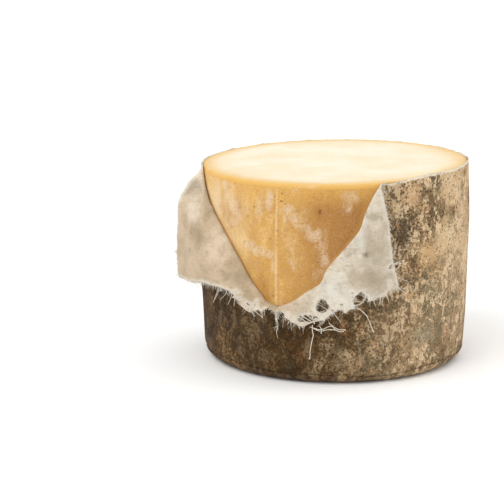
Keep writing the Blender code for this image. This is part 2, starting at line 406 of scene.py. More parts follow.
# Colours of the bare rind and the cut face, and marks as (around, height, half width, half height)
rindLook = {
    "ground": ((0.34, (186, 132, 58)), (0.5, (216, 166, 84)), (0.66, (236, 192, 118))),
    "mottle": (204, 156, 92),
    "deepTanAndShade": (170, 116, 54),  # towards the right: partly the rind's own deeper tan, partly painted shade
    "clearGoldAndLight": (250, 222, 174),  # towards the left: partly the rind's own clearer gold, partly painted light
    "underEdge": (232, 180, 92),
    "bloom": (232, 206, 174),
    "seam": (240, 208, 160),
    "darkGrain": (158, 100, 46),
    "paleGrain": (240, 206, 158),
    "paintedLightBesideFold": (255, 196, 112),  # painted light: the rind beside each fold brightened to warm gold, over the shadow of the gap under the fold
    "speck": (120, 72, 34),
    "paste": ((0.34, (250, 232, 196)), (0.66, (254, 243, 218))),
    "ripePaste": (240, 198, 118),
    "pasteEdge": (228, 174, 84),
    "pasteStreak": (253, 245, 226),
    "seamAround": -0.0705,
    "seamHalfWidth": 0.0011,
    "pale": (
        (-1720, 2060, 50, 240), (-1550, 2260, 70, 80), (-1460, 2120, 80, 100), (-1350, 2030, 70, 90),
        (-1280, 1920, 60, 80), (-1380, 1840, 60, 50), (-1080, 1610, 90, 60), (-920, 1550, 120, 70),
        (-790, 1530, 60, 50), (-940, 2050, 60, 150), (-810, 2160, 50, 120), (-560, 2060, 70, 70),
        (-460, 1960, 80, 60), (-360, 1870, 90, 60), (-240, 1780, 90, 70), (-140, 1630, 60, 100),
        (-110, 1480, 60, 90), (180, 2220, 90, 70),
    ),
    "dark": (
        (-500, 2318, 16, 9), (-1130, 2310, 9, 7), (-170, 2050, 18, 30), (-740, 1030, 11, 11),
    ),
}


def makeCheeseMaterial():
    material, tree, shader, place = newMaterial("cheesePasteAndRind")
    look = rindLook
    tall = objectPlace(tree, (1, 1, 0.45))
    around, down = flatPlace(tree)  # down the wall from the cut edge, negative on the cut face
    height = down * -1 + cutHeight

    lumps = noiseOf(tall, 0.034, 5, 0.6)
    mottle = noiseOf(place, 0.009, 5, 0.62)
    grain = noiseOf(place, 0.0017, 4, 0.65)
    # white bloom: mottled streaks, and the patches that the photo shows
    streaks = noiseOf(tall, 0.016, 6, 0.68, 0.6)
    lace = noiseOf(place, 0.0042, 6, 0.72, 0.8)
    bloom = streaks.step(0.56, 0.7) * lumps.step(0.35, 0.6, 1, 0.15)
    wobble = (streaks - 0.5) * 6 + (lace - 0.5) * 9
    for mark in look["pale"]:
        bloom = bloom.atLeast(markOf(around, height, mark, wobble))
    bloom = bloom * lace.step(0.36, 0.6, 0.85, 0.25)
    # the mark of the cloth's joint, a thin raised line
    off = abs(around - look["seamAround"]) + (mottle - 0.5) * 0.004
    seam = off.step(look["seamHalfWidth"] * 2.2, look["seamHalfWidth"] * 0.5)
    # pores and specks
    specks = cellsOf(place, 0.0085).step(0.16, 0.09) * noiseOf(place, 0.02, 2).step(0.48, 0.6)
    for mark in look["dark"]:
        specks = specks.atLeast(markOf(around, height, mark, wobble * 0.25))
    rind = layered(rampOf(lumps, look["ground"]), look, {
        "mottle": mottle.step(0.42, 0.62, 0.55),
        # painted shade towards the right and painted light towards the left, over the rind's own change of
        # colour
        "deepTanAndShade": around.step(-0.085, 0.02, 0.92) * lumps.step(0.2, 0.6, 1, 0.7),
        "clearGoldAndLight": around.step(-0.09, -0.17) * lumps.step(0.3, 0.55, 0.85, 0.35),
        "underEdge": down.step(0.034, 0.006) * mottle.step(0.25, 0.55, 1, 0.5) * 0.7,
        "bloom": bloom,
        "seam": seam * streaks.step(0.34, 0.54, 0.75, 0.25),
        "darkGrain": grain.step(0.5, 0.36, 0.3),
        "paleGrain": grain.step(0.5, 0.64, 0.16),
        # painted light on the rind within a few millimetres of each fold
        "paintedLightBesideFold": flatPlace(tree, "torn")[0].step(0.01, 0.001, 0.6),
        "speck": specks * 0.55,
    })

    # the cut face: cream, golden towards its edge
    paste = layered(rampOf(noiseOf(place, 0.05, 4), look["paste"]), look, {
        "ripePaste": down.step(-0.045, -0.004, 0.3) + down.step(-0.024, 0.001, 0.7),
        "pasteEdge": down.step(-0.006, 0.0005, 0.8),
        "pasteStreak": noiseOf(objectPlace(tree, (0.35, 1.6, 1)), 0.03, 3).step(0.6, 0.75, 0.35),
    })
    isCut = (down + (mottle - 0.5) * 0.006).step(0.0085, -0.0005)

    onRind = isCut * -0.85 + 1
    dress(shader, ((mottle * onRind, 0.0012), (grain * onRind, 0.0004), (specks * -1, 0.0006)),
          Base_Color=mixOf(isCut, rind, paste),
          Roughness=mottle.step(0.3, 0.7, 0.56, 0.36) + bloom * 0.2, Specular_IOR_Level=0.26,
          Subsurface_Weight=0.12, Subsurface_Radius=(0.01, 0.0055, 0.002), Subsurface_Scale=0.6)
    return material


# Shades of the mould-grown cloth from its dark growth to bare cloth: (field value, colour). The dark
# shades, laid over the left of the wrap, are partly the growth's own colour and partly painted shadow
mouldLook = {
    "tan": ((0.38, (88, 66, 38)), (0.445, (148, 120, 82)), (0.49, (192, 158, 112)), (0.54, (230, 192, 144)),
            (0.61, (250, 228, 190))),
    "dark": ((0.37, (30, 17, 4)), (0.45, (58, 37, 10)), (0.5, (82, 56, 22)), (0.56, (110, 80, 42)),
             (0.64, (158, 128, 86))),
    "shadedDarkToTan": (-0.05, 0.1),  # across, from the dark shades on the left, partly painted shadow, to the tan ones
    "olive": (112, 106, 78),
    "rust": (150, 98, 54),
    "peach": (236, 184, 134),
    "bareCloth": (255, 222, 178),
    "frayed": (255, 242, 218),
    "pit": (66, 46, 26),
    # patches that the photo shows: (x, height, half width, half height, colour). Partly the growth's own
    # colour, partly painted shade beside the right flap's edge and low on the left, and painted light
    # towards the wheel's right edge
    "patches": (
        (880, 2220, 110, 100, (232, 190, 142)), (1300, 2200, 130, 140, (246, 210, 160)),
        (1060, 1480, 80, 130, (240, 198, 142)), (1300, 1600, 100, 180, (255, 222, 172)),
        (1510, 1800, 50, 260, (255, 220, 180)), (1060, 520, 120, 100, (208, 194, 162)),
        (200, 300, 140, 60, (170, 140, 106)), (520, 1000, 100, 60, (164, 118, 74)),
        (820, 1860, 240, 150, (112, 94, 70)), (660, 2280, 100, 120, (100, 78, 50)),
        (1100, 2260, 90, 110, (104, 82, 54)), (870, 1180, 150, 120, (124, 102, 74)),
        (1200, 900, 180, 220, (140, 130, 98)), (560, 880, 240, 200, (98, 76, 48)),
        (-50, 600, 400, 300, (80, 56, 26)), (-900, 500, 300, 300, (72, 50, 20)),
        (780, 1680, 120, 180, (96, 76, 52)), (700, 700, 140, 140, (132, 104, 74)),
        (1160, 2000, 80, 100, (120, 94, 64)), (1380, 1100, 100, 300, (188, 160, 122)),
    ),
    "calmLow": (150, 126, 94),
}


def makeMouldMaterial():
    material, tree, shader, place = newMaterial("mouldGrownMuslin")
    look = mouldLook
    tall = objectPlace(tree, (1, 1, 0.8), (0.031, 0.012, 0.057))
    slanting = objectPlace(tree, (1, 1, 0.6))
    x, height = partsOf(place)[::2]
    lumps = noiseOf(tall, 0.048, 6, 0.6, 0.5)
    patches = noiseOf(tall, 0.016, 8, 0.7, 0.9)
    grain = noiseOf(place, 0.0032, 5, 0.72)
    fine = noiseOf(place, 0.0012, 2, 0.6)

    growth = lumps * 0.52 + patches * 0.48 + (grain - 0.5) * 0.5
    # the left of the wrap takes the dark shades: darker growth, with painted shadow there too
    toTan = (x + (lumps - 0.5) * 0.11).step(*look["shadedDarkToTan"])
    color = mixOf(toTan, rampOf(growth, look["dark"]), rampOf(growth, look["tan"]))
    uneven = (patches - 0.5) * 9 + (grain - 0.5) * 12
    # soft patches: the growth's colours, with painted shade and painted light among them
    color = stainsShadeAndLightOver(color, place, uneven, look["patches"], 0.85)
    color = layered(color, look, {
        "calmLow": height.step(0.13, 0.05, 0.5) * x.step(0.01, 0.07),
        "olive": noiseOf(place, 0.026, 5, 0.6).step(0.52, 0.63, 0.45) * x.step(-0.09, 0.03, 1, 0.15),
    })
    rust = noiseOf(tall, 0.012, 4, 0.6).step(0.58, 0.68, 0.5)
    color = mixOf(rust, color, mixOf(x.step(-0.02, 0.06), look["rust"], look["peach"]))

    # pale flecks and scales where the growth has rubbed off, dark pits, bare cloth at torn edges
    flecks = noiseOf(slanting, 0.0036, 4, 0.66).step(0.55, 0.6) * patches.step(0.46, 0.58, 0.95, 0.05)
    flecks = flecks * x.step(-0.02, 0.1, 1, 0.1)
    scales = noiseOf(slanting, 0.0095, 7, 0.7, 0.6).step(0.515, 0.54)
    scales = scales * noiseOf(place, 0.04, 3).step(0.45, 0.53) * x.step(0, 0.12, 0.95, 0.1)
    color = mixOf(flecks.atLeast(scales), color, look["bareCloth"])
    pits = cellsOf(place, 0.0038).step(0.34, 0.18) * grain.step(0.56, 0.44)
    color = mixOf(pits * (lumps * 0.12 + height).step(0.2, 0.27, 0.9, 0.25), color, look["pit"])
    color = mixOf(fine.step(0.36, 0.6, 0, 0.28), color, look["pit"])
    bare = (grain * 0.003 + flatPlace(tree, "torn")[0]).step(0.0044, 0.0032)
    dress(shader, ((patches, 0.0026), (grain, 0.0012), (fine, 0.0005), (pits * -1, 0.001)),
          Base_Color=mixOf(bare, color, look["frayed"]), Roughness=0.95, Specular_IOR_Level=0.1,
          Sheen_Weight=0.05, Sheen_Roughness=0.6)
    return material


# The clean side of the cloth, and its threads. tone is the right flap's colour, shadeTone the left's
linenLook = {
    "innerMuslin": {"tone": (255, 243, 222), "shadeTone": (232, 206, 173), "stainAndShade": 0.42},
    "bareThread": {"tone": (246, 238, 222), "shadeTone": (238, 226, 204), "stainAndShade": 0.15},
    "thin": (176, 152, 118),
    "blot": (166, 144, 112),
    "grey": (150, 142, 114),
    "brown": (146, 112, 72),
    "betweenThreads": (150, 130, 100),
    "fibre": (160, 138, 108),
    "nap": (168, 146, 114),
    "washed": (250, 240, 222),
    "weavePitch": 0.0022,
    # x, height, half width, half height, colour. Stains, with painted shade and painted light over both
    # flaps: darker around the right flap's brown stain, paler along its fold, and lighter and darker
    # patches over the left flap
    "stainsShadeAndLight": (
        (430, 2000, 40, 30, (176, 162, 132)), (500, 1630, 120, 100, (182, 166, 134)),
        (360, 1570, 30, 25, (92, 70, 42)), (440, 1300, 130, 80, (190, 172, 144)),
        (0, 1220, 140, 100, (255, 250, 236)), (120, 1020, 260, 120, (255, 250, 236)),
        (260, 1800, 80, 160, (255, 250, 236)), (-1730, 2130, 100, 80, (150, 138, 110)),
        (-1610, 2340, 100, 100, (255, 236, 206)), (-1670, 1860, 60, 110, (255, 242, 220)),
        (-1620, 1620, 80, 100, (160, 138, 106)), (-1350, 1520, 120, 140, (248, 226, 198)),
        (-1500, 2000, 40, 240, (176, 152, 118)), (-1110, 1210, 140, 60, (176, 154, 124)),
    ),
}


def weaveOf(tree, pitch):
    # threads over and under each other, 0 to 1, from the cloth's flat coordinates
    warp, weft = ((part * (2 * math.pi / pitch)).sine() for part in flatPlace(tree))
    return warp * weft * 0.5 + 0.5


def makeLinenMaterial(name):
    material, tree, shader, place = newMaterial(name)
    look = linenLook
    tone, shadeTone, stainAndShade = look[name].values()
    x, height = partsOf(place)[::2]
    soft = noiseOf(place, 0.03, 4, 0.6)
    blots = noiseOf(place, 0.012, 6, 0.66)
    fibre = noiseOf(place, 0.001, 2, 0.6)
    nap = noiseOf(objectPlace(tree, (0.45, 0.45, 1.3)), 0.003, 4, 0.7)
    weave = weaveOf(tree, look["weavePitch"])
    # the left flap darkens downwards
    color = mixOf(x.step(0, -0.08) * height.step(0.235, 0.17, 1, 0.35), tone, shadeTone)
    color = layered(color, look, {
        "thin": soft.step(0.56, 0.36, stainAndShade),
        "blot": blots.step(0.5, 0.72, 0.5 * stainAndShade),
        "grey": noiseOf(place, 0.019, 4).step(0.58, 0.7, stainAndShade),
        "brown": noiseOf(place, 0.007, 3).step(0.68, 0.76, stainAndShade),
        "betweenThreads": weave.step(0.62, 0.3, 0.45 * stainAndShade),
        "fibre": fibre.step(0.36, 0.56, 0, 0.7 * stainAndShade),
        "nap": nap.step(0.52, 0.36, 0.6 * stainAndShade),
    })
    # stains, painted shade and painted light on the cloth's clean side
    color = stainsShadeAndLightOver(color, place, (blots - 0.5) * 8, look["stainsShadeAndLight"], 1.4 * stainAndShade)
    # washed paler where threads have come loose
    pale = (blots * 0.006 + flatPlace(tree, "torn")[0]).step(0.0085, 0.003, 0.75)
    dress(shader, ((soft, 0.006), (blots, 0.002), (nap, 0.001), (weave, 0.0004), (fibre, 0.0007)),
          Base_Color=mixOf(pale, color, look["washed"]), Roughness=0.88, Specular_IOR_Level=0.2,
          Sheen_Weight=0.2, Sheen_Roughness=0.5, Subsurface_Weight=0.06,
          Subsurface_Radius=(0.004, 0.003, 0.002), Subsurface_Scale=0.4)
    return material


cheeseMaterial = makeCheeseMaterial()
mouldMaterial = makeMouldMaterial()
linenMaterial = makeLinenMaterial("innerMuslin")
threadMaterial = makeLinenMaterial("bareThread")
clothMaterials = [mouldMaterial, linenMaterial, threadMaterial]
print("materials made")


# The cheese
cheeseShape = {
    "faceRings": 26,
    "roundingRings": 8,
    "wallRings": 92,
    "footDegrees": (12, 24, 36, 48, 60, 72, 82, 90),
    "bareRounding": 0.0045,  # of the cut edge where the rind is bare
    "boundRounding": 0.0015,  # and where cloth covers it
    "faceDip": 0.0004,
    "relief": 0.00035,  # lumps left by the cloth, and its weave
    "pressMark": 0.00012,
    "seamHeight": 0.0004,
    "seamSpread": 0.0013,
}


def makeCheese():
    shape = cheeseShape
    around = angles * girthRadius
    rightEnd, leftEnd = (foldAt(flap, cutHeight) for flap in (rightFlap, leftFlap))
    bare = easeStep(leftEnd - 0.004, leftEnd + 0.006, around)
    bare = bare * easeStep(rightEnd + 0.004, rightEnd - 0.006, around)
    rounding = shape["boundRounding"] + (shape["bareRounding"] - shape["boundRounding"]) * bare
    rounding = rounding * (1 + 0.18 * unevenness(inRow(around), 0.02, 2, 21))
    rim = wallRadius(cutHeight) + wallSwell(angles, cutHeight)

    # rings from the middle of the cut face over its edge, down the wall and in under the base
    rings, downs = [], []
    for share in np.sin(np.linspace(0.03, quarterTurn, shape["faceRings"] + 1)[:-1]):
        radius = (rim - rounding) * share
        flat = atDrum(angles, radius, cutHeight + 0 * angles)
        flat[:, 2] += shape["faceDip"] * unevenness(flat[:, :2], 0.06, 3, 5) * (1 - share**8)
        rings.append(flat)
        downs.append(radius - rim)
    for turn in np.radians(np.linspace(0, 90, shape["roundingRings"])):
        radius = rim - rounding * (1 - np.sin(turn))
        rings.append(atDrum(angles, radius, cutHeight - rounding * (1 - np.cos(turn))))
        downs.append(-rounding * (1 - turn / quarterTurn) * 1.2)
    wallHeights = np.linspace(cutHeight - 0.006, footTop, shape["wallRings"])
    footHeights = footTop - np.radians(shape["footDegrees"]) * footRounding
    for height in np.concatenate([wallHeights, footHeights]):
        rings.append(onSkin(angles, height, 0.0))
        downs.append(cutHeight - height + 0 * angles)
    for share in (0.6, 0.2):
        rings.append(rings[-1] * (share, share, 1))
        downs.append(downs[-1] + 0.05)

    points = np.concatenate(rings)
    places = np.stack([np.tile(around, len(rings)), np.concatenate(downs)], -1)
    # pressed cloth leaves the wall slightly lumpy; it never rises into the cloth's own space
    relief = shape["relief"] * (unevenness(points, 0.022, 4, 31) - 0.35)
    relief += shape["pressMark"] * (unevenness(points * (1, 1, 0.5), 0.0035, 2, 32) - 0.5)
    seam = np.exp(-((places[:, 0] - rindLook["seamAround"]) / shape["seamSpread"]) ** 2)
    relief += shape["seamHeight"] * seam * (0.75 + 0.5 * unevenness(points, 0.006, 2, 33))
    onWall = easeStep(0.004, 0.012, places[:, 1]) * easeStep(footTop, footTop + 0.01, points[:, 2])
    points = pushedOut(points, relief * onWall)

    faces = ringFaces(len(rings)).tolist()
    topCentre, underCentre, last = len(points), len(points) + 1, len(points) - girthSteps
    faces += [(topCentre, i, (i + 1) % girthSteps) for i in range(girthSteps)]
    faces += [(underCentre, last + (i + 1) % girthSteps, last + i) for i in range(girthSteps)]
    points = np.concatenate([points, atDrum(0.0, 0.0, cutHeight)[None], [[0, 0, drum["baseLift"]]]])
    places = np.concatenate([places, [[0, -0.16], [0, 0.4]]])
    height = levelOf(points)
    toFold = np.minimum(places[:, 0] - foldAt(leftFlap, height), foldAt(rightFlap, height) - places[:, 0])
    places = np.concatenate([places, np.clip(toFold, -0.05, 0.05)[:, None]], -1)
    return newPiece("cheeseDrum", points, faces, places, [cheeseMaterial])


cheese = makeCheese()
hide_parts("cheese")
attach(cheese, "root")
print("cheese made:", len(cheese.data.polygons), "faces")


# The bandage: one sheet in rows from the rim to under the base. Rows above the slit's foot
# are open there, and each open end is folded back as a flap and trimmed to its torn outline.
bandageShape = {
    "gap": 0.00045,
    "thickness": 0.0008,
    "solidThickness": 0.0015,
    "lip": 0.0052,  # rows run on this far above the cut, and are trimmed
    "lipRows": 6,
    "edgeAbove": (-0.0006, 0.0036),  # cloth above the cut face, and how much more at the right
    "edgeWave": 0.0015,
    "tuck": 0.02,
    "openRows": 92,
    "closedRows": 24,
    "footRows": 7,
    "wrapSteps": 216,
    "foldSteps": 8,
    "flapSteps": 54,
    "crust": 0.0005,
    "tearJitter": 0.0013,
    "rimJitter": 0.001,
    "margin": 0.0045,  # rows run this far past the tear before they are trimmed
    "reachRows": (15, 7),  # a row reaches as far as the rows near it, evened out
    "puckerDrop": 0.012,
    "farAway": 0.3,
}


def flapWays(flap):
    # along the fold and across it, in (around, height), and how a row's length is shared out
    half = 0.5 * (math.radians(flap["degrees"]) + (math.pi if flap["side"] > 0 else 0.0))
    along = np.array([math.cos(half), math.sin(half)])
    along = -along if along[1] > 0 else along
    rowShare = abs(along[0])
    acrossShare = math.sqrt(1 - rowShare**2)
    return along, np.array([-flap["side"] * acrossShare, rowShare]), rowShare, acrossShare


def flapRow(flap, height, run):
    # run: lengths along the row past the fold. Gives places around and heights, lifts,
    # and which points lie past the fold's turn
    along, across, rowShare, acrossShare = flapWays(flap)
    start = np.array([foldAt(flap, height), height])
    foldRadius, slitHeight = slit["foldRadius"], slit["foot"][1]
    away = run * acrossShare
    turn = np.minimum(away / foldRadius, math.pi)
    back = away - foldRadius * turn
    offset = foldRadius * np.sin(turn) - back
    share = np.clip((height - slitHeight) / (cutHeight - slitHeight), 0.0, 1.0)
    nearFoot, atRim, standLength = flap["stand"]
    stand = nearFoot + (atRim - nearFoot) * share
    flat = start + run[:, None] * rowShare * along + offset[:, None] * across
    ripple = flap["ripple"] * unevenness(flat, 0.028, 3, flap["seed"]) * easeStep(0.0, 0.03, back)
    lift = foldRadius * (1 - np.cos(turn)) + stand * np.tanh(back / standLength) + ripple
    return flat, lift, turn >= math.pi


def rowReach(flap, height):
    # how far a row runs before its last crossing of the torn edge
    heading = math.radians(flap["degrees"])
    way = np.array([math.cos(heading), math.sin(heading)])
    start = np.array([foldAt(flap, height), height])
    torn = flap["outline"][:flap["corner"] + 1]
    beyond = np.array([flap["side"] * 0.03, 0.0])
    line = np.concatenate([[torn[0] - beyond], torn, [torn[-1] + beyond]])
    first, step = line[:-1] - start, np.diff(line, axis=0)
    cross = way[0] * step[:, 1] - way[1] * step[:, 0]
    reach = (first[:, 0] * step[:, 1] - first[:, 1] * step[:, 0]) / cross
    share = (first[:, 0] * way[1] - first[:, 1] * way[0]) / cross
    return float(np.max(reach[(share >= 0) & (share <= 1) & (reach > 0)], initial=0.0))


def insideTear(flap, flat):
    # distance inside the torn outline and outside the holes, less than 0 where the cloth is gone
    line = flap["outline"]
    first, step = line[:-1], np.diff(line, axis=0)
    share = np.clip(((flat[:, None] - first) * step).sum(-1) / (step**2).sum(-1), 0.0, 1.0)
    away = np.linalg.norm(flat[:, None] - first - share[..., None] * step, axis=-1)
    far = bandageShape["farAway"]
    ring = np.concatenate([line, [(line[-1][0], far), (-flap["side"] * far, far),
                                  (-flap["side"] * far, line[0][1])]])
    ringStep = np.roll(ring, -1, axis=0) - ring
    under = (ring[:, 1] > flat[:, None, 1]) != (np.roll(ring[:, 1], -1) > flat[:, None, 1])
    steep = np.where(np.abs(ringStep[:, 1]) < 1e-12, 1e-12, ringStep[:, 1])
    crossing = ring[:, 0] + (flat[:, None, 1] - ring[:, 1]) / steep * ringStep[:, 0]
    inside = (under & (flat[:, None, 0] < crossing)).sum(-1) % 2 == 1
    value = np.where(inside, 1, -1) * away.min(-1)
    for *hole, tilt in flap["holes"]:
        middle, size = metres(hole).reshape(2, 2)
        turn = math.radians(tilt)
        cosine, sine = math.cos(turn), math.sin(turn)
        apart = (flat - middle) @ np.array([[cosine, -sine], [sine, cosine]])
        uneven = 1 + 0.3 * unevenness(flat, 0.0065, 2, flap["seed"] + 40)
        value = np.minimum(value, (np.linalg.norm(apart / size, axis=-1) - uneven) * size.min())
    torn = away.argmin(-1) < flap["corner"]
    jitter = np.where(torn, bandageShape["tearJitter"], bandageShape["rimJitter"])
    return value + jitter * unevenness(flat, 0.0034, 3, flap["seed"] + 20)


def trimMesh(points, faces, values):
    # cuts the mesh along the line where the values pass 0, and keeps the side above it.
    # Also gives each cut edge as its two point numbers and the number of its face
    kept = faces[(values[faces] >= 0).all(-1)].tolist()
    mixed = faces[(values[faces] >= 0).any(-1) & (values[faces] < 0).any(-1)]
    made, madeAt, edges = [], {}, []

    def crossingOf(a, b):
        a, b = sorted((a, b))
        if (a, b) not in madeAt:
            share = values[a] / (values[a] - values[b])
            madeAt[a, b] = len(points) + len(made)
            made.append(points[a] * (1 - share) + points[b] * share)
        return madeAt[a, b]

    for face in mixed.tolist():
        polygon, ends = [], []
        for a, b in zip(face, face[1:] + face[:1]):
            if values[a] >= 0:
                polygon.append(a)
            if (values[a] >= 0) != (values[b] >= 0):
                polygon.append(crossingOf(a, b))
                ends.append(polygon[-1])
        if len(polygon) > 2:
            kept.append(polygon)
            if len(ends) == 2:
                edges.append((ends[0], ends[1], len(kept) - 1))
    return np.concatenate([points, made]), kept, edges


def largestPart(faces, count):
    # True for each face that belongs to the largest connected part
    parent = np.arange(count)

    def rootOf(i):
        while parent[i] != i:
            parent[i] = parent[parent[i]]
            i = parent[i]
        return i

    for face in faces:
        first = rootOf(face[0])
        for other in face[1:]:
            parent[rootOf(other)] = first
    roots = np.array([rootOf(face[0]) for face in faces])
    names, sizes = np.unique(roots, return_counts=True)
    return roots == names[sizes.argmax()]


def rowReaches(flap, heights):
    reach = np.array([rowReach(flap, height) for height in heights])
    for window, blend in zip(bandageShape["reachRows"], (np.max, np.mean)):
        padded = np.pad(reach, window // 2, mode="edge")
        reach = blend([padded[i:i + len(heights)] for i in range(window)], axis=0)
    return reach + bandageShape["margin"]


def makeBandage():
    shape = bandageShape
    girth = 2 * math.pi * girthRadius
    slitAt, slitHeight = slit["foot"]
    middle = shape["gap"] + shape["solidThickness"] / 2
    wrapSteps, foldSteps, flapSteps, openRows, farAway = (
        shape[name] for name in ("wrapSteps", "foldSteps", "flapSteps", "openRows", "farAway"))
    share = (np.arange(openRows, 0, -1) / openRows) ** 1.12  # rows close up towards the slit's foot
    lipHeights = cutHeight + np.linspace(shape["lip"], 0, shape["lipRows"] + 1)[:-1]
    openHeights = np.concatenate([lipHeights, slitHeight + (cutHeight - slitHeight) * share])
    reaches = [rowReaches(flap, openHeights) for flap in (rightFlap, leftFlap)]

    rows, flats, values = [], [], []
    for number, height in enumerate(openHeights):
        sides = []
        for flap, reach in zip((rightFlap, leftFlap), reaches):
            length = reach[number]
            bend = min(math.pi * slit["foldRadius"] / flapWays(flap)[3], 0.6 * length)
            run = np.concatenate([np.linspace(0, bend, foldSteps + 1)[1:],
                                  bend + np.linspace(0, length - bend, flapSteps + 1)[1:]])
            flat, lift, past = flapRow(flap, height, run)
            sides.append((run, flat, lift, np.where(past, insideTear(flap, flat), farAway)))
        (rightRun, right, rightLift, rightValue), (leftRun, left, leftLift, leftValue) = sides
        start = foldAt(rightFlap, height)
        end = foldAt(leftFlap, height) + girth
        wrap = np.linspace(start, end, wrapSteps + 1)
        around = np.concatenate([right[::-1, 0], wrap, left[:, 0] + girth])
        heights = np.concatenate([right[::-1, 1], height + 0 * wrap, left[:, 1]])
        lift = np.concatenate([rightLift[::-1], 0 * wrap, leftLift])
        rows.append(onSkin(around / girthRadius, heights, middle + lift))
        flatAround = np.concatenate([start - rightRun[::-1], wrap, end + leftRun])
        flats.append(inRow(flatAround, height))
        value = np.concatenate([rightValue[::-1], farAway + 0 * wrap, leftValue])
        # above the cut the cloth ends in a low frayed lip, higher along the front right
        low, more = shape["edgeAbove"]
        proud = low + more * easeStep(0.07, 0.11, flatAround) * easeStep(0.29, 0.24, flatAround)
        ragged = unevenness(inRow(flatAround), 0.005, 4, 44)
        top = cutHeight + proud + shape["edgeWave"] * ragged
        values.append(np.minimum(value, top - height))

    wallHeights = np.linspace(slitHeight, footTop, shape["closedRows"])
    footHeights = footTop - np.linspace(0, quarterTurn, shape["footRows"] + 1)[1:] * footRounding
    tuckHeights = footHeights[-1] - np.array([0.3, 1.0]) * shape["tuck"]
    for height in np.concatenate([wallHeights, footHeights, tuckHeights]):
        # points that lay on the flaps fan out on both sides of the slit's line
        fall = slitHeight - height
        fan = min(0.007 + 0.9 * fall, slit["fan"])
        near = np.linspace(0, fan, foldSteps + flapSteps + 1)
        wrap = np.linspace(slitAt + fan, slitAt - fan + girth, wrapSteps + 1)[1:-1]
        around = np.concatenate([slitAt + near, wrap, slitAt - near[:0:-1] + girth])
        fromSlit = np.abs((around - slitAt + girth / 2) % girth - girth / 2)
        pucker = slit["pucker"] * np.clip(1 - fall / shape["puckerDrop"], 0, 1)
        rows.append(onSkin(around / girthRadius, height, middle + pucker * easeStep(0.01, 0.0, fromSlit)))
        flats.append(inRow(around, height))
        values.append(farAway + 0 * around)

    counts = [len(row) for row in rows]
    starts = np.concatenate([[0], np.cumsum(counts)])
    faces = []
    for number in range(len(rows) - 1):
        # a closed row is one point shorter, and its end meets its own first point
        i = np.arange(max(counts) - 1)
        upper, nextUpper, lower, nextLower = (starts[row] + (i + step) % counts[row]
                                              for row in (number, number + 1) for step in (0, 1))
        faces.append(np.stack([upper, lower, nextLower, nextUpper], -1))

    points = np.concatenate(rows)
    crust = shape["crust"] * (unevenness(points * (1, 1, 0.6), 0.011, 4, 51) + 0.2)
    points = pushedOut(points, crust * easeStep(footTop - 0.012, footTop, points[:, 2]))
    values = np.concatenate(values)
    table = np.concatenate([points, np.concatenate(flats), np.minimum(values, 0.05)[:, None]], -1)
    table, faces, edges = trimMesh(table, np.concatenate(faces), values)
    points, places = table[:, :3], table[:, 3:]
    keep = largestPart(faces, len(points))
    used = np.unique(np.concatenate([faces[i] for i in np.flatnonzero(keep)]))
    renumbered = np.full(len(points), -1)
    renumbered[used] = np.arange(len(used))
    tornEdges = [(points[a], points[b], points[faces[face]].mean(0)) for a, b, face in edges if keep[face]]
    faces = [renumbered[face] for face, kept in zip(faces, keep) if kept]
    piece = newPiece("muslinBandage", points[used], faces, places[used], clothMaterials)
    thicken(piece, shape["thickness"], rimMaterial=2)
    return piece, np.array(tornEdges)


bandage, tornEdges = makeBandage()
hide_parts("bandage")
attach(bandage, "root")
print("bandage made:", len(bandage.data.polygons), "faces a side,", len(tornEdges), "torn edges")


# Loose threads: short fibres along every torn edge, and the long ones that the photo shows
threadShape = {
    "fibres": {"perMetre": 3000, "radius": 0.0002, "shortest": 0.0006, "usual": 0.0011, "longest": 0.006,
               "lean": 0.75, "curl": 0.7, "fall": 0.35, "points": 6, "sides": 4},
    "strands": {"perMetre": 320, "radius": 0.0004, "shortest": 0.0025, "usual": 0.0032, "longest": 0.01,
                "lean": 1.3, "curl": 1.2, "fall": 0.15, "points": 9, "sides": 5},
    "strandsBelow": 0.15,  # height under which whole threads have come loose too
    "longRadius": 0.00052,
    "longPoints": 30,
    "longSides": 6,
    "offWall": 0.0024,
    "seed": 77,
}
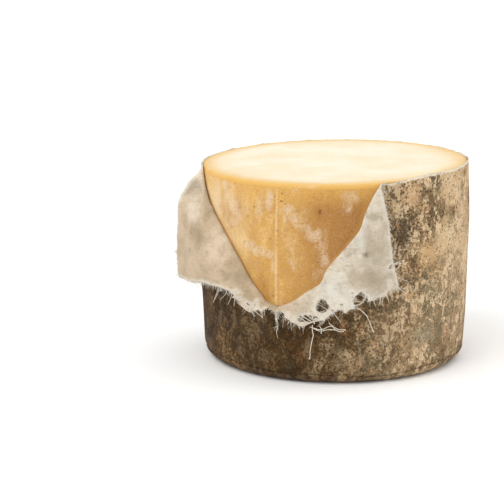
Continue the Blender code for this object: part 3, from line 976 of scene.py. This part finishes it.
# around, height and lift off the cheese of the points along each long thread
longThreads = (
    # hanging from the right flap's tear, and along it
    ((-237, 746, 85), (-240, 674, 80), (-230, 610, 70), (-254, 521, 50), (-272, 420, 36), (-282, 318, 30)),
    ((243, 951, 85), (293, 928, 78), (381, 841, 58), (405, 791, 45), (475, 632, 30)),
    ((343, 1131, 85), (351, 1068, 90), (331, 1026, 92), (276, 988, 90), (223, 978, 88)),
    # at its corner
    ((603, 1461, 95), (638, 1416, 100), (675, 1366, 90), (702, 1318, 80)),
    ((620, 1428, 95), (685, 1434, 80), (777, 1425, 45)),
    ((690, 1351, 85), (745, 1388, 65), (792, 1421, 40)),
    ((629, 1376, 95), (655, 1341, 100), (677, 1306, 95), (660, 1278, 90), (638, 1301, 90)),
    # the tangle under it
    ((-262, 721, 85), (-149, 690, 70), (-77, 716, 62), (-21, 729, 55), (58, 688, 50), (143, 676, 42)),
    ((-227, 706, 80), (-157, 671, 65), (-82, 684, 58), (-2, 688, 50), (68, 666, 48), (118, 664, 42)),
    ((-52, 771, 62), (-12, 731, 66), (23, 681, 58)),
    ((-157, 736, 80), (-137, 696, 78), (-142, 646, 60)),
    # across its holes
    ((-422, 841, 80), (-352, 806, 84), (-282, 761, 82)),
    ((-367, 866, 82), (-302, 816, 86), (-232, 781, 82)),
    ((-302, 866, 82), (-257, 831, 88), (-177, 806, 82)),
    ((-227, 886, 82), (-232, 826, 88), (-217, 761, 82)),
    ((-222, 816, 80), (-112, 866, 88), (-22, 921, 84)),
    ((-27, 1036, 84), (-47, 966, 92), (-92, 876, 84)),
    ((-202, 901, 82), (-122, 884, 90), (-22, 946, 84)),
    # along the left flap's tear
    ((-1345, 1085, 150), (-1385, 1075, 145), (-1425, 1045, 135), (-1445, 1010, 120)),
    ((-1200, 975, 140), (-1150, 915, 125), (-1080, 865, 105), (-1000, 830, 85)),
    ((-1180, 945, 135), (-1115, 890, 118), (-1040, 862, 100), (-970, 872, 90)),
    ((-965, 870, 90), (-910, 820, 78), (-855, 775, 60)),
    ((-850, 850, 80), (-852, 805, 70), (-853, 772, 60)),
    ((-1000, 850, 85), (-980, 805, 75), (-950, 775, 65)),
    # on the right flap's rim edge
    ((612, 1546, 100), (660, 1551, 95), (695, 1576, 75)),
)
# a rolled scrap of cloth at the slit's foot
slitScrap = {"from": (-0.0705, 0.0868, 0.0052), "to": (-0.0632, 0.0884, 0.0058), "radius": 0.0014}


def tubesOf(paths, radii, sides):
    # paths (count, points, 3) and radii (count, points) to one mesh of closed tubes
    count, length = paths.shape[:2]
    tangents = unit(np.gradient(paths, axis=1))
    aside = unit(np.cross(tangents, (0.31, 0.22, 0.92)))
    third = np.cross(tangents, aside)
    turn = np.arange(sides) * 2 * math.pi / sides
    ring = aside[:, :, None] * np.cos(turn)[:, None] + third[:, :, None] * np.sin(turn)[:, None]
    points = (paths[:, :, None] + ring * radii[:, :, None, None]).reshape(-1, 3)
    tube, row, side = np.meshgrid(np.arange(count), np.arange(length - 1), np.arange(sides), indexing="ij")
    first = (tube * length + row) * sides
    following = (side + 1) % sides
    faces = np.stack([first + side, first + following, first + sides + following, first + sides + side], -1)
    faces = faces.reshape(-1, 4).tolist()
    for tubeStart in range(0, count * length * sides, length * sides):
        faces.append([tubeStart + side for side in range(sides)][::-1])
        tubeEnd = tubeStart + (length - 1) * sides
        faces.append([tubeEnd + side for side in range(sides)])
    return points, faces


def frayPaths(edges, draw, kind):
    # curled fibres that start just inside the torn edges
    first, second, faceMiddle = edges[:, 0], edges[:, 1], edges[:, 2]
    length = np.linalg.norm(second - first, axis=1)
    along = unit(second - first)
    middle = 0.5 * (first + second)
    away = middle - faceMiddle
    away -= (away * along).sum(1, keepdims=True) * along
    size = np.linalg.norm(away, axis=1)
    count = np.where(size > 1e-7, draw.poisson(length * kind["perMetre"]), 0)
    pick = np.repeat(np.arange(len(edges)), count)
    away = away[pick] / size[pick][:, None]
    along = along[pick]
    middle = middle[pick] + along * (draw.uniform(-0.5, 0.5, len(pick)) * length[pick])[:, None]
    normal = np.cross(away, along)
    lean = draw.normal(0, kind["lean"], len(pick))
    tilt = draw.normal(0, 0.35, len(pick))
    way = away * np.cos(lean)[:, None] + along * np.sin(lean)[:, None] + normal * tilt[:, None]
    curl = draw.uniform(-1.0, 1.0, (len(pick), 3))
    atRim = middle[:, 2] > cutHeight - 0.004  # kept short there
    reach = kind["shortest"] + draw.exponential(kind["usual"], len(pick))
    reach = np.minimum(reach, kind["longest"]) * np.where(atRim, 0.6, 1.0)
    share = np.linspace(0, 1, kind["points"])[None, :, None]
    bend = kind["curl"] * share**2 * curl[:, None] - share**2 * np.array([0.0, 0.0, kind["fall"]])
    paths = middle[:, None] + reach[:, None, None] * (share * way[:, None] + bend) - 0.0005 * away[:, None]
    radii = kind["radius"] * draw.uniform(0.7, 1.35, len(pick))[:, None]
    return keepOffWall(paths, threadShape["offWall"]), radii * np.linspace(1.0, 0.45, kind["points"])


def keepOffWall(paths, least):
    # pushes points out where they would sink into the cloth on the wall
    height = levelOf(paths)
    radius = np.maximum(np.hypot(paths[..., 0], paths[..., 1]), 1e-6)
    need = wallRadius(np.clip(height, 0, cutHeight)) + least
    push = np.where(height < cutHeight, np.maximum(need / radius, 1.0), 1.0)
    return paths * np.stack([push, push, np.ones_like(push)], -1)


def joined(points, faces, morePoints, moreFaces):
    first = sum(len(part) for part in points)
    return points + [morePoints], faces + [[first + i for i in face] for face in moreFaces]


def makeThreads():
    draw = np.random.default_rng(threadShape["seed"])
    low = tornEdges[tornEdges[:, 0, 2] < threadShape["strandsBelow"]]
    points, faces = [], []
    for edges, kind in ((tornEdges, threadShape["fibres"]), (low, threadShape["strands"])):
        tubes = tubesOf(*frayPaths(edges, draw, kind), kind["sides"])
        points, faces = joined(points, faces, *tubes)

    share = np.linspace(0, 1, threadShape["longPoints"])
    paths = []
    for number, route in enumerate(longThreads):
        stops = np.linspace(0, 1, len(route))
        around, height, lift = (np.array([smoothThrough(np.stack([stops, values], -1), x) for x in share])
                                for values in metres(route).T)
        path = onSkin(around / girthRadius, height, lift)
        wander = np.stack([unevenness(path + 0.3 * axis, 0.0045, 2, 90 + number) for axis in range(3)], -1)
        paths.append(path + 0.0007 * wander * np.minimum(1, 8 * share)[:, None])
    paths = np.array(paths)
    slubs = 1 + 0.35 * unevenness(paths, 0.0025, 2, 91) + 0.9 * np.exp(-((share - 1) / 0.035) ** 2)
    longTubes = tubesOf(paths, threadShape["longRadius"] * slubs, threadShape["longSides"])
    points, faces = joined(points, faces, *longTubes)

    ends = [onSkin(around / girthRadius, height, lift)
            for around, height, lift in (slitScrap["from"], slitScrap["to"])]
    roll = np.linspace(ends[0], ends[1], 12)[None]
    rollRadii = slitScrap["radius"] * np.sqrt(np.clip(1 - np.linspace(-0.97, 0.97, 12) ** 2, 0, 1))[None]
    rollTube = tubesOf(roll, rollRadii * (1 + 0.2 * unevenness(roll, 0.002, 2, 92)), 10)
    points, faces = joined(points, faces, *rollTube)
    return newPiece("tornThreads", np.concatenate(points), faces, None, [threadMaterial])


threads = makeThreads()
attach(threads, "root")
print("threads made:", len(threads.data.polygons), "faces")


# The cap cloth under the base
baseShape = {
    "thickness": 0.0007,
    "solidThickness": 0.0012,
    "turnedUp": 0.016,  # of the flat disc, beyond the foot
    "edgeLift": 0.0023,  # off the cheese at the edge, where it lies on the bandage
    "stopDegrees": 26.0,
    "strayDegrees": 11.0,
    "rings": 26,
}


def makeBaseCloth():
    middle = drum["baseLift"] - baseShape["solidThickness"] / 2
    stop, stray = np.radians((baseShape["stopDegrees"], baseShape["strayDegrees"]))
    edge = stop + stray * (0.6 * np.sin(3 * angles + 0.8) + 0.4 * np.sin(7 * angles - 1.0))
    ragged = unevenness(np.stack([np.sin(angles), np.cos(angles)], -1), 0.05, 4, 61)
    edge = edge + np.radians(4.0) * ragged
    flatEdge = footTop - quarterTurn * footRounding
    rings = [onSkin(angles, flatEdge - inward, middle) for inward in (0.11, 0.06, 0.02)]
    for share in np.linspace(0, 1, baseShape["rings"]):
        turn = quarterTurn + (edge - quarterTurn) * share
        lump = 0.0002 * (1 + unevenness(rings[0], 0.01, 3, 62)) * share
        lift = middle + (baseShape["edgeLift"] - middle) * share + lump
        rings.append(onSkin(angles, footTop - turn * footRounding, lift))
    points = np.concatenate(rings + [np.array([[0, 0, drum["baseLift"] - middle]])])
    places = np.stack([np.arctan2(points[:, 0], -points[:, 1]) * girthRadius,
                       np.linalg.norm(points[:, :2], axis=1), np.full(len(points), 0.05)], -1)
    faces = ringFaces(len(rings))[:, ::-1].tolist()
    faces += [(len(points) - 1, (i + 1) % girthSteps, i) for i in range(girthSteps)]
    piece = newPiece("baseCloth", points, faces, places, clothMaterials)
    thicken(piece, baseShape["thickness"])
    return piece


baseCloth = makeBaseCloth()
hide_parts("base_cloth")
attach(baseCloth, "root")
print("base cloth made")


# Floor, light and camera
studio = {
    "cameraPlace": (0.0, -2.3768, 0.6482),
    "cameraDegrees": (77.533, 0.0, 2.411),  # 90 looks level
    "lensPixels": 2000.0,  # focal length over the pixel size, for a picture 504 wide
    "pictureWidth": 504,
    "sensorWidth": 36.0,
    "worldLight": 0.93,
    "floorReach": 30.0,
    "paper": (0.93, 0.93, 0.925, 1.0),
    "palerPaper": (0.97, 0.97, 0.965, 1.0),
    # name: degrees around from the camera, degrees up, light on level ground, softness, colour
    "suns": {
        "keyWindow": (-48.0, 46.0, 0.28, 50.0, (1.0, 0.985, 0.96)),
        "fillWindow": (118.0, 40.0, 0.13, 60.0, (1.0, 0.99, 0.97)),
    },
}


def makeStudio():
    scene = bpy.context.scene
    scene.view_settings.view_transform = "Standard"
    world = bpy.data.worlds.new("paleStudio")
    world.use_nodes = True
    background = world.node_tree.nodes["Background"]
    setInput(background, "Color", (1.0, 1.0, 1.0, 1.0))
    setInput(background, "Strength", studio["worldLight"])
    scene.world = world
    floorMaterial, tree, shader, place = newMaterial("palePaper")
    grain = noiseOf(place, 0.004, 3.0)
    paper = addNode(tree, "Mix", {0: grain, 6: studio["paper"], 7: studio["palerPaper"]}, data_type="RGBA")
    dress(shader, (), Base_Color=Field(paper.outputs[2]), Roughness=0.9)
    reach = studio["floorReach"]
    corners = [(-reach, -reach, 0), (reach, -reach, 0), (reach, reach, 0), (-reach, reach, 0)]
    newPiece("studioFloor", corners, [(0, 1, 2, 3)], None, [floorMaterial])
    for name, (turn, rise, level, softness, color) in studio["suns"].items():
        light = bpy.data.lights.new(name, "SUN")
        light.angle = math.radians(softness)
        light.energy = level * math.pi / math.sin(math.radians(rise))
        light.color = color
        newObject(name, light).rotation_euler = np.radians((90 - rise, 0, turn))
    camera = newObject("photoCamera", bpy.data.cameras.new("photoCamera"))
    camera.data.sensor_width = studio["sensorWidth"]
    camera.data.lens = studio["lensPixels"] / studio["pictureWidth"] * studio["sensorWidth"]
    camera.data.clip_end = 50.0
    camera.location = studio["cameraPlace"]
    camera.rotation_euler = np.radians(studio["cameraDegrees"])
    scene.camera = camera


makeStudio()
print("studio set")
